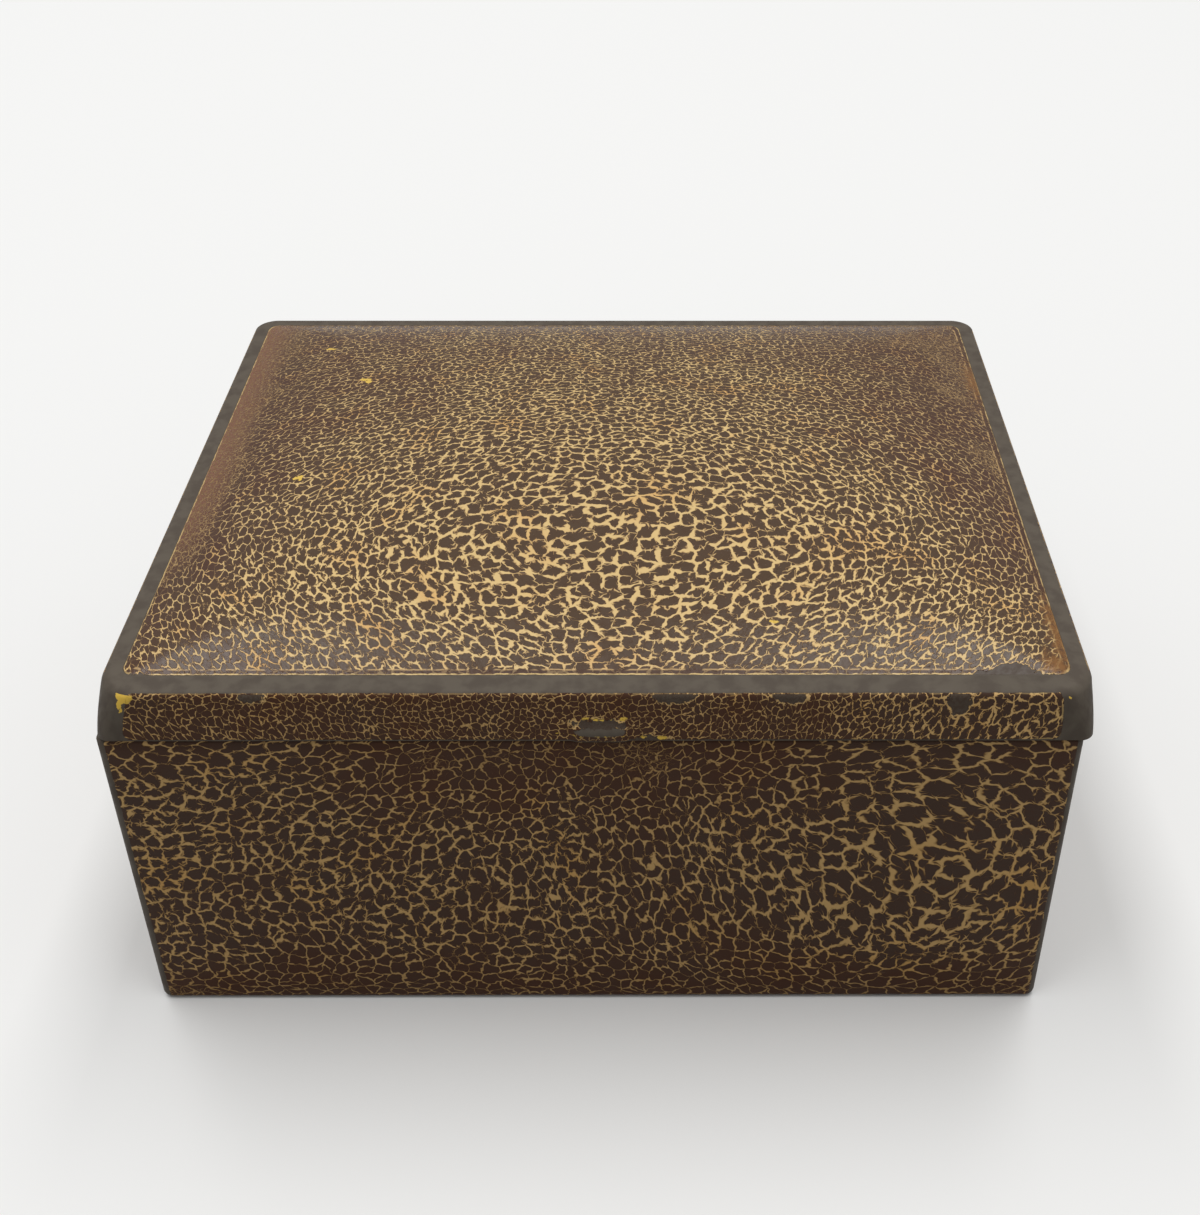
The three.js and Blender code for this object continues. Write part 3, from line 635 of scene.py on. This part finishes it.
# Lid: one drawn piece of tinplate with a pillow panel, a flat border, a bent edge and a flared skirt.
# A thumb lip is pressed out of the front skirt. Pillow and skirt are lacquered, and the border is bare.
LID_MIDDLE = 0.45
LID_HALF_WIDTH, LID_HALF_DEPTH = 57.15, 47.65  # at the skirt's lower edge
LID_TOP, SKIRT_LOW, SKIRT_FLARE = 50.8, 44.5, 0.8
LID_CORNER_RADIUS, SKIRT_CORNER_RADIUS = 5.2, 1.75  # at the border's height and at the lower edge
LID_BACK_CORNERS = 0.6  # the back corners' share of that radius
LID_EDGE_RADIUS = 0.9
BORDER_WIDTH, FRONT_BORDER_WIDTH = 2.3, 3.3
PILLOW_CORNER_RADIUS, PILLOW_ROUNDING = 1.6, 0.6
PILLOW_RISE, PILLOW_REACH = 2.9, 8.5
LIP_MIDDLE, LIP_HALF_WIDTH, LIP_REACH = 0.8, 3.5, 0.65
LIP_HEIGHTS, LIP_SHARES = (0, 0.5, 1.1, 1.6, 2.2, 3.0), (0.4, 0.8, 1, 0.85, 0.3, 0)  # its profile, going up
RIGHT_SKIRT_DENT = 0.4
PILLOW_ROWS, UNDER_ROWS, BEND_ROWS, SKIRT_ROWS = 56, 24, 9, 22
foot_half_width = LID_HALF_WIDTH - SKIRT_FLARE - BORDER_WIDTH
foot_half_depth = LID_HALF_DEPTH - SKIRT_FLARE - (BORDER_WIDTH + FRONT_BORDER_WIDTH) / 2
pillow_middle = (FRONT_BORDER_WIDTH - BORDER_WIDTH) / 2
skirt_slope = SKIRT_FLARE / (LID_TOP - SKIRT_LOW)
skirt_lean = np.arctan(skirt_slope)


def edge_rings(inset, z):
    """Rings of the bend and the skirt. The corners' radius in plan grows up the skirt as the height squared,
    and shrinks with the inset. At the back it is smaller."""
    share = (z - SKIRT_LOW) / (LID_TOP - SKIRT_LOW)
    radius = SKIRT_CORNER_RADIUS + share**2 * (LID_CORNER_RADIUS - SKIRT_CORNER_RADIUS)
    radius = np.maximum(radius - inset + (z - SKIRT_LOW) * skirt_slope, LEAST_CORNER_RADIUS)
    half_width, half_depth = LID_HALF_WIDTH - inset, LID_HALF_DEPTH - inset
    return rounded_rings(half_width, half_depth, radius, z, (LID_MIDDLE, 0), LID_BACK_CORNERS)


def pillow_rings(depth, rows):
    """The pillow from its middle to its foot: its height is rise x (1 - exp(-s / reach)), s in from the foot,
    and each millimetre of s adds to the radius of its corners."""
    s = (foot_half_depth - 0.15) * np.linspace(1, 0, rows) ** 1.8
    radius = np.minimum(PILLOW_CORNER_RADIUS + PILLOW_ROUNDING * s, foot_half_depth - s)
    z = LID_TOP + PILLOW_RISE * (1 - np.exp(-s / PILLOW_REACH)) - depth
    return rounded_rings(foot_half_width - s, foot_half_depth - s, radius, z, (LID_MIDDLE, pillow_middle)), s


def bend_rings(depth):
    """The bend between border and skirt: an arc that meets both without a crease."""
    centre_z = LID_TOP - LID_EDGE_RADIUS
    centre = (centre_z - SKIRT_LOW) * skirt_slope + LID_EDGE_RADIUS / np.cos(skirt_lean)
    end = 180 - np.degrees(skirt_lean)
    return edge_rings(*arc(centre, centre_z, LID_EDGE_RADIUS - depth, 90, end, BEND_ROWS).T)


def skirt_rings(depth, rows):
    """The skirt below the bend, leaning out evenly to its lower edge, with the thumb lip pressed out of its
    front and its right side pushed in near the front corner."""
    top = LID_TOP - LID_EDGE_RADIUS + LID_EDGE_RADIUS * np.sin(skirt_lean) - SKIRT_LOW
    height = np.linspace(top, 0, rows + 1)[1:]
    inset = height * skirt_slope + depth / np.cos(skirt_lean)
    rings = edge_rings(inset, SKIRT_LOW + height)
    x, y, z = rings.transpose(2, 0, 1)
    up = z - SKIRT_LOW
    lip = smooth_step(LIP_HALF_WIDTH - np.abs(x - LIP_MIDDLE), 0, 1.0) * (y < 0)
    rings[..., 1] -= LIP_REACH * lip * np.interp(up, LIP_HEIGHTS, LIP_SHARES)
    dent = np.exp(-(((y + 44) / 12) ** 2)) * smooth_step(x - LID_HALF_WIDTH, -3, 0)
    rings[..., 0] -= RIGHT_SKIRT_DENT * dent * np.clip(1 - up / 6, 0, 1)
    return rings


pillow, pillow_inset = pillow_rings(0, PILLOW_ROWS)
bend, skirt = bend_rings(0), skirt_rings(0, SKIRT_ROWS)
border_share = np.array((0.08, 0.35, 0.65, 0.92))[:, None, None]
border = pillow[-1] + border_share * (bend[0] - pillow[-1])
under_skirt, under_bend = skirt_rings(SHEET, 8)[::-1], bend_rings(SHEET)[::-1]
under_pillow = pillow_rings(SHEET, UNDER_ROWS)[0][::-1]
outer = np.concatenate((pillow, border, bend, skirt))
rings = np.concatenate((outer, under_skirt, under_bend, under_pillow))
crown = LID_TOP + PILLOW_RISE

# How far each place lies inside bare metal: the border and the upright folds are bare, the pillow and the
# skirt's faces are not. The skirt's panel starts half way round the bend.
gap, corner, _ = corner_distance(outer)
x, y, z = outer.transpose(2, 0, 1)
up = z - SKIRT_LOW
pillow_end = len(pillow)
panel_start = pillow_end + len(border) + BEND_ROWS // 2
panel_top = outer[panel_start]
below = np.linalg.norm(outer[panel_start:] - panel_top, axis=2)
fold_strip = np.where(corner == 3, 2.9, np.where(corner == 0, 3.0 + 0.12 * (LID_TOP - z), 2.7))
bare = np.empty(outer.shape[:2])
bare[:pillow_end] = -pillow_inset[:, None]
frame_rows = outer[pillow_end:panel_start]
bare[pillow_end:panel_start] = np.minimum(
    np.linalg.norm(frame_rows - pillow[-1], axis=2), np.linalg.norm(frame_rows - panel_top, axis=2)
)
bare[panel_start:] = np.maximum(-below, (fold_strip - gap)[panel_start:])
bare[panel_start:] = np.maximum(bare[panel_start:], 0.16 - up[panel_start:])
lip_front = spots(outer[panel_start:], [(LIP_MIDDLE, -48.0, 46.0, 2.9, 2.5, 0.6)])  # rubbed bare by fingers
bare[panel_start:] = np.maximum(bare[panel_start:], lip_front)
on_pillow = np.arange(len(outer))[:, None] < pillow_end
# Strength of the pale line at the panel's edge, and how far in the second line runs
from_front, from_back = y - pillow_middle + foot_half_depth, pillow_middle + foot_half_depth - y
from_side = foot_half_width - np.abs(x - LID_MIDDLE)
at_back = from_back < np.minimum(from_front, from_side)
rim = np.where(at_back, 0.45, np.where(from_side < from_front, 0.76, 1.0))
second = np.where(from_front < from_side, 0.68, np.where(x > 0, 0.9, 0.0))
second = np.where(at_back, 0.0, second)
right_fold = (corner == 0) & (y < -40) & (gap < 6)
skirt_rim = np.where(right_fold, 0.5, 0.0)
skirt_rim[panel_start:] = np.maximum(skirt_rim[panel_start:], 0.25 * (below < 1.0))
rim = np.where(on_pillow, rim, skirt_rim)
second = np.where(on_pillow, second, 0.0)
bites = spots(
    outer,
    (
        (-51.4, -44.2, 50.9, 1.9, 0.9, 9),
        (47.8, -43.9, 50.9, 2.6, 1.9, 9),
        (45.0, -43.9, 50.9, 2.4, 0.9, 9),
        (50.6, -43.9, 50.9, 2.4, 0.6, 9),
    ),
)
# Chips in the skirt's coat, and one painted shade: the dark band along the top of the thumb lip
chips_and_shade = spots(
    outer,
    (
        (-38.2, -46.8, 50.4, 1.5, 2, 0.85),
        (9.2, -46.8, 50.4, 2.3, 2, 1.0),
        (22.2, -46.8, 50.4, 1.9, 2, 1.0),
        (41.2, -46.9, 49.6, 1.3, 2, 1.8),
        # painted shade: a dark band under the thumb lip's upper edge
        (0.8, -47.6, 46.85, 2.9, 2, 0.55),
        (6.4, -47.6, 44.5, 2.0, 2, 0.7),
    ),
)
chips_and_shade = np.where(on_pillow, bites, np.where(z < LID_TOP - 0.25, chips_and_shade, NOWHERE))
# Yellow primer showing where the coat has chipped, and one painted highlight: a thin yellow line along the
# thumb lip
primer_and_highlight = spots(
    outer,
    (
        (-52.5, -46.8, 50.2, 1.0, 2, 0.75),
        (-53.1, -47.1, 49.1, 0.28, 2, 1.1),
        (53.6, -46.9, 50.0, 0.2, 2, 0.5),
        (-0.9, -47.4, 47.45, 0.8, 2, 0.12),
        (0.6, -47.4, 47.35, 0.9, 2, 0.10),
        (3.4, -47.4, 47.4, 0.45, 2, 0.22),
        # painted highlight: a thin line along the thumb lip's hump
        (0.6, -48.1, 45.45, 1.9, 2, 0.03),
        (5.6, -47.6, 45.0, 0.45, 2, 0.16),
        (7.8, -47.6, 44.9, 0.6, 2, 0.26),
    ),
)
blisters = spots(
    outer,
    (
        (-42.1, 32.8, 53, 0.9, 0.55, 9),
        (-34.8, 21.7, 53, 1.3, 0.8, 9),
        (-40.1, -4.8, 53, 0.7, 0.8, 9),
        (20.9, -35.8, 53, 0.6, 0.45, 9),
    ),
)
primer_and_highlight = np.where(on_pillow, blisters, np.where(z < LID_TOP - 0.35, primer_and_highlight, NOWHERE))
stain = spots(
    outer,
    (
        (54.6, -36.0, 50.9, 1.8, 8.0, 9),
        (52.8, -42.0, 50.9, 1.6, 2.6, 9),
        (54.0, 25.5, 50.9, 1.4, 6.0, 9),
    ),
)
# Coarse in the middle of the pillow's front half, fine towards its back and right, and thin with hardly a
# crack at its left
along_depth = np.interp(
    y,
    (-44, -38, -30, -20, -12, -4, 6, 18, 32, 44),
    (0.36, 0.58, 0.92, 1.00, 0.86, 0.64, 0.50, 0.40, 0.29, 0.18),
)
from_middle = np.abs(x - 4) / (1 + 0.4 * smooth_step(-y, 20, 44))
along_width = np.interp(from_middle, (14, 24, 34, 42, 49, 54), (1.0, 0.86, 0.64, 0.44, 0.24, 0.04))
thin_left = smooth_step(-x, 44.5, 57) * smooth_step(y, -40, -4) * 0.54
thin_right = smooth_step(x, 20, 46) * smooth_step(y, -42, -20) * 0.16
coarse = along_depth * along_width - thin_left - thin_right
skirt_coarse = coarseness(
    outer,
    (
        (46, -47.3, 47.5, 15, 3, 6, 0.42),
        (-46, -47.3, 47.5, 14, 3, 6, 0.06),
        (-57, 14, 47, 3, 20, 6, 0.25),
        (57, -10, 47, 3, 24, 6, 0.3),
        (10, 47, 47, 26, 3, 6, 0.25),
    ),
    0.11,
)
skirt_coarse -= 0.14 * np.exp(-(((x - 23.5) / 2.2) ** 2)) * (y < 0)
coarse = np.where(on_pillow, coarse, skirt_coarse)
# The drawn sheet laid flat and stretched where the crackle is coarse: the skirt goes on outwards from the
# border
outward = bend[-1, :, :2] - bend[0, :, :2]
outward /= np.linalg.norm(outward, axis=1)[:, None]
flat = np.stack((x, y, np.zeros_like(x)), axis=2)
flat[panel_start:, :, :2] = panel_top[:, :2] + outward * below[..., None]
pillow_flat = magnified(flat, ((3, -20, 68, 44, 0.60), (-57, 10, 12, 40, -0.2))) * (1.12, 1.0, 1.0)
skirt_flat = magnified(flat, ((46, -50, 16, 9, 0.35),)) * 1.25
flat = np.where(on_pillow[..., None], pillow_flat, skirt_flat)
lid_values = {"coarse": coarse, "bare": bare, "flat": flat, "rim": rim, "second": second}
lid_values |= {"chips_and_shade": chips_and_shade, "primer_and_highlight": primer_and_highlight, "stain": stain}
unseen = len(rings) - len(outer)
lid_values = {
    key: np.concatenate((value, value[:1].repeat(unseen, axis=0))) for key, value in lid_values.items()
}

lid = sheet_object(
    "lid",
    rings,
    [pillow_end - 1, len(outer)],
    (polished_lacquer_painted_sheen, dull_lacquer, gold_tin),
    poles=[(LID_MIDDLE, pillow_middle, crown), (LID_MIDDLE, pillow_middle, crown - SHEET)],
    values=lid_values,
)
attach(lid, "lid")
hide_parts("lid_shell")


# Hinge leaves: strips of steel rolled round the pin and notched to pass each other's knuckles.
# They keep the solids' shape, with the cut edges just broken, and have gone dark and dull.
LEAF_EDGE = 0.06
STEEL, DARK_STEEL, RUST = (0.20, 0.185, 0.165), (0.10, 0.09, 0.08), (0.13, 0.06, 0.03)

leaf_steel, tree = new_material("dull_leaf_steel")
place = place_in_millimetres(tree)
drawn = add_node(tree, "VectorMath", {0: place, 1: (0.15, 3.0, 3.0)}, operation="MULTIPLY").outputs[0]
grain = noise(tree, drawn, 1.0, 3.0, 0, "3D")
base = blend(tree, ramp(tree, noise(tree, place, 2.2, 4.0, 0, "3D"), 0.35, 0.65), STEEL, DARK_STEEL)
rusty = product(tree, ramp(tree, noise(tree, place, 1.4, 4.0, 0, "3D"), 0.58, 0.70), 0.7)
base = blend(tree, rusty, base, RUST)
roughness = calc(tree, "MULTIPLY_ADD", rusty, 0.3, ramp(tree, grain, 0.3, 0.7, 0.38, 0.54))
metallic = calc(tree, "MULTIPLY_ADD", rusty, -0.7, 0.9)
bump = add_node(tree, "Bump", {"Strength": 0.4, "Distance": 0.00006, "Height": grain})
add_surface(
    tree, {"Base Color": base, "Metallic": metallic, "Roughness": roughness, "Normal": bump.outputs[0]}
)

for side in ("left", "right"):
    for body, part in (("case", "body"), ("lid", "lid")):
        node = f"hinge_{part}_leaf_{side}"
        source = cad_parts[node].data
        corners = np.empty(len(source.vertices) * 3)
        source.vertices.foreach_get("co", corners)
        places, merged = np.unique(np.round(corners.reshape(-1, 3), 7), axis=0, return_inverse=True)
        triangles = np.empty(len(source.loops), np.int32)
        source.loops.foreach_get("vertex_index", triangles)
        mesh = bpy.data.meshes.new(f"{part}_leaf_{side}")
        mesh.from_pydata(places, [], merged.ravel()[triangles].reshape(-1, 3).tolist())
        mesh.validate()
        mesh.materials.append(leaf_steel)
        mesh.polygons.foreach_set("use_smooth", np.ones(len(mesh.polygons), bool))
        mesh.set_sharp_from_angle(angle=np.radians(32))
        leaf = bpy.data.objects.new(f"{part}_leaf_{side}", mesh)
        bpy.context.scene.collection.objects.link(leaf)
        edge = leaf.modifiers.new("broken_edge", "BEVEL")
        edge.width = LEAF_EDGE * 0.001
        edge.segments = 2
        edge.limit_method = "ANGLE"
        edge.angle_limit = np.radians(40)
        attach(leaf, body)
        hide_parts(node)


# Pins and rivets: steel wire with both ends upset into low heads, and round-headed rivets that hold each
# leaf to its sheet, with the tails spread inside.
HINGE_X, HINGE_Y, HINGE_Z = 31.0, 48.85, 43.9
PIN_RADIUS, PIN_HALF, PIN_HEAD_RADIUS, PIN_HEAD_LENGTH, PIN_HEAD_BEVEL = 0.65, 9.7, 0.95, 0.4, 0.2
RIVET_SPACING, RIVET_RADIUS, RIVET_HEAD_RADIUS, RIVET_HEAD_HEIGHT = 10.0, 0.7, 1.25, 0.5
RIVET_TAIL_RADIUS, RIVET_TAIL_HEIGHT, RIVET_TAIL_BEVEL = 1.15, 0.3, 0.2
FILM = 0.1
RIVET_GRIP = 0.8  # leaf, film and sheet
LEAF_THICKNESS, CURL_RADIUS, NOTCH_REACH = 0.35, 1.1, 1.4
LID_LEAF_TOP, BODY_LEAF_FOOT, HINGE_DROP = 5.5, 9.4, 0.6
TURNED_STEPS = 48
BRIGHT_STEEL, GREY_STEEL = (0.36, 0.35, 0.33), (0.20, 0.19, 0.175)

pin_steel, tree = new_material("pin_steel")
place = place_in_millimetres(tree)
worn_steel = noise(tree, place, 0.9, 4.0, 0, "3D")
base = blend(tree, ramp(tree, worn_steel, 0.35, 0.65), BRIGHT_STEEL, GREY_STEEL)
base = blend(tree, ramp(tree, noise(tree, place, 0.6, 3.0, 0, "3D"), 0.60, 0.72, 0.0, 0.6), base, RUST)
roughness = ramp(tree, worn_steel, 0.3, 0.7, 0.28, 0.46)
add_surface(tree, {"Base Color": base, "Metallic": 0.9, "Roughness": roughness})


def turned_object(name, profile, axes, centre, material):
    """A turned piece: its profile, as radius and place along its axis, carried round the axis in a full turn.

    axes are the directions of the axis and of the two that the radius turns in. The end points of the
    profile lie on the axis and are closed by fans.
    """
    axis, first, second = np.asarray(axes, float)
    angle = np.arange(TURNED_STEPS) / TURNED_STEPS * 2 * np.pi
    radius, along = np.asarray(profile, float)[1:-1].T
    round_it = np.cos(angle)[:, None] * first + np.sin(angle)[:, None] * second
    rows = radius[:, None, None] * round_it + along[:, None, None] * axis
    points = np.concatenate((rows.reshape(-1, 3), np.outer((profile[0][1], profile[-1][1]), axis))) + centre
    i = np.arange(TURNED_STEPS)
    following = (i + 1) % TURNED_STEPS
    low = np.arange(len(rows) - 1)[:, None] * TURNED_STEPS
    high = low + TURNED_STEPS
    quads = np.stack(np.broadcast_arrays(low + i, low + following, high + following, high + i), axis=2)
    start, end = len(points) - 2, len(points) - 1
    last = (len(rows) - 1) * TURNED_STEPS
    faces = quads.reshape(-1, 4).tolist()
    faces += np.stack((np.full_like(i, start), following, i), axis=1).tolist()
    faces += np.stack((np.full_like(i, end), last + i, last + following), axis=1).tolist()
    mesh = bpy.data.meshes.new(name)
    mesh.from_pydata(points * 0.001, [], faces)
    mesh.validate()
    mesh.materials.append(material)
    mesh.polygons.foreach_set("use_smooth", np.ones(len(faces), bool))
    mesh.set_sharp_from_angle(angle=np.radians(35))
    piece = bpy.data.objects.new(name, mesh)
    bpy.context.scene.collection.objects.link(piece)
    return piece


head = [
    (PIN_RADIUS, PIN_HALF),
    (PIN_HEAD_RADIUS, PIN_HALF),
    (PIN_HEAD_RADIUS, PIN_HALF + PIN_HEAD_LENGTH - PIN_HEAD_BEVEL),
    (PIN_HEAD_RADIUS - 0.06, PIN_HALF + PIN_HEAD_LENGTH - 0.06),
    (PIN_HEAD_RADIUS - PIN_HEAD_BEVEL, PIN_HALF + PIN_HEAD_LENGTH),
    (0, PIN_HALF + PIN_HEAD_LENGTH),
]
pin_profile = [(r, -h) for r, h in head[::-1]] + head

dome = arc(0, 0, 1, 0, 90, 8)
tail = -RIVET_GRIP - FILM
rivet_profile = [
    (0, tail - RIVET_TAIL_HEIGHT),
    (RIVET_TAIL_RADIUS - RIVET_TAIL_BEVEL, tail - RIVET_TAIL_HEIGHT),
    (RIVET_TAIL_RADIUS, tail),
    (RIVET_RADIUS, tail),
    (RIVET_RADIUS, FILM),
    *zip(RIVET_HEAD_RADIUS * dome[:, 0], FILM + RIVET_HEAD_HEIGHT * dome[:, 1]),
]
lid_rivet_up = (NOTCH_REACH + LID_LEAF_TOP) / 2
body_rivet_down = (NOTCH_REACH + BODY_LEAF_FOOT) / 2
lid_rivet_y = HINGE_Y - CURL_RADIUS - (lid_rivet_up - HINGE_DROP) * skirt_slope + LEAF_THICKNESS
body_rivet_y = WALL_HALF_DEPTH + FILM + LEAF_THICKNESS

for side, hinge_x in (("left", -HINGE_X), ("right", HINGE_X)):
    pin = turned_object(f"pin_{side}", pin_profile, np.eye(3), (hinge_x, HINGE_Y, HINGE_Z), pin_steel)
    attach(pin, "case")
    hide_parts(f"hinge_pin_{side}")
    for body, part, y, z, lean in (
        ("case", "body", body_rivet_y, HINGE_Z - body_rivet_down, 0.0),
        ("lid", "lid", lid_rivet_y, HINGE_Z + lid_rivet_up, skirt_lean),
    ):
        outward = (0, np.cos(lean), np.sin(lean))
        axes = (outward, (0, -np.sin(lean), np.cos(lean)), (1, 0, 0))
        for k, offset in ((1, -RIVET_SPACING / 2), (2, RIVET_SPACING / 2)):
            name = f"{part}_rivet_{side}_{k}"
            rivet = turned_object(f"{name}_round", rivet_profile, axes, (hinge_x + offset, y, z), pin_steel)
            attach(rivet, body)
            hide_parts(name)
